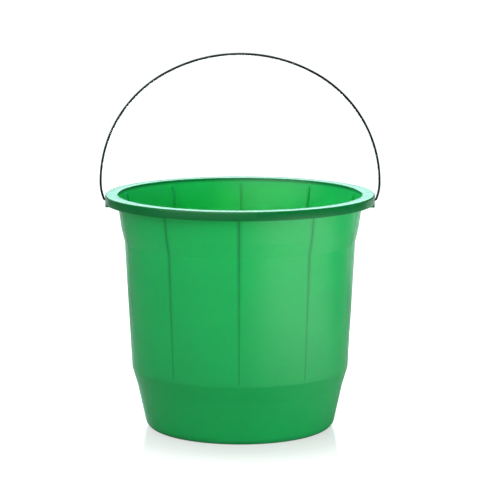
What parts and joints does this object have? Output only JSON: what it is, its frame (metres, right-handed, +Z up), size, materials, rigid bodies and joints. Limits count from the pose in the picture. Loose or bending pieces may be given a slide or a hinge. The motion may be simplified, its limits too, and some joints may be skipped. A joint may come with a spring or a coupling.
{
  "type": "florist bucket",
  "caption": "Tapered round moulded bucket with a rolled rim, stacking ribs, side lugs and a swinging wire bail.",
  "frame": {"origin": "on the floor, under the bucket's axis, at the middle of the base", "axes": "+Z up along the bucket's axis, +X through the lugs along the bail's swing axis, -Y towards the viewer"},
  "size_m": [0.3024, 0.29, 0.4056],
  "materials": {
    "tinted_polypropylene": "translucent green polypropylene, moulded smooth, semi-gloss",
    "steel_wire": "dark, dull drawn steel wire"
  },
  "bodies": {
    "bucket": {"bucket_shell": "tinted_polypropylene"},
    "bail": {"wire_bail": "steel_wire"}
  },
  "joints": [
    {"name": "bail_swing", "type": "hinge", "parent": "bucket", "child": "bail", "pos_m": [0, 0, 0.2475], "axis": [1, 0, 0], "range_deg": [-128, 128]}
  ]
}
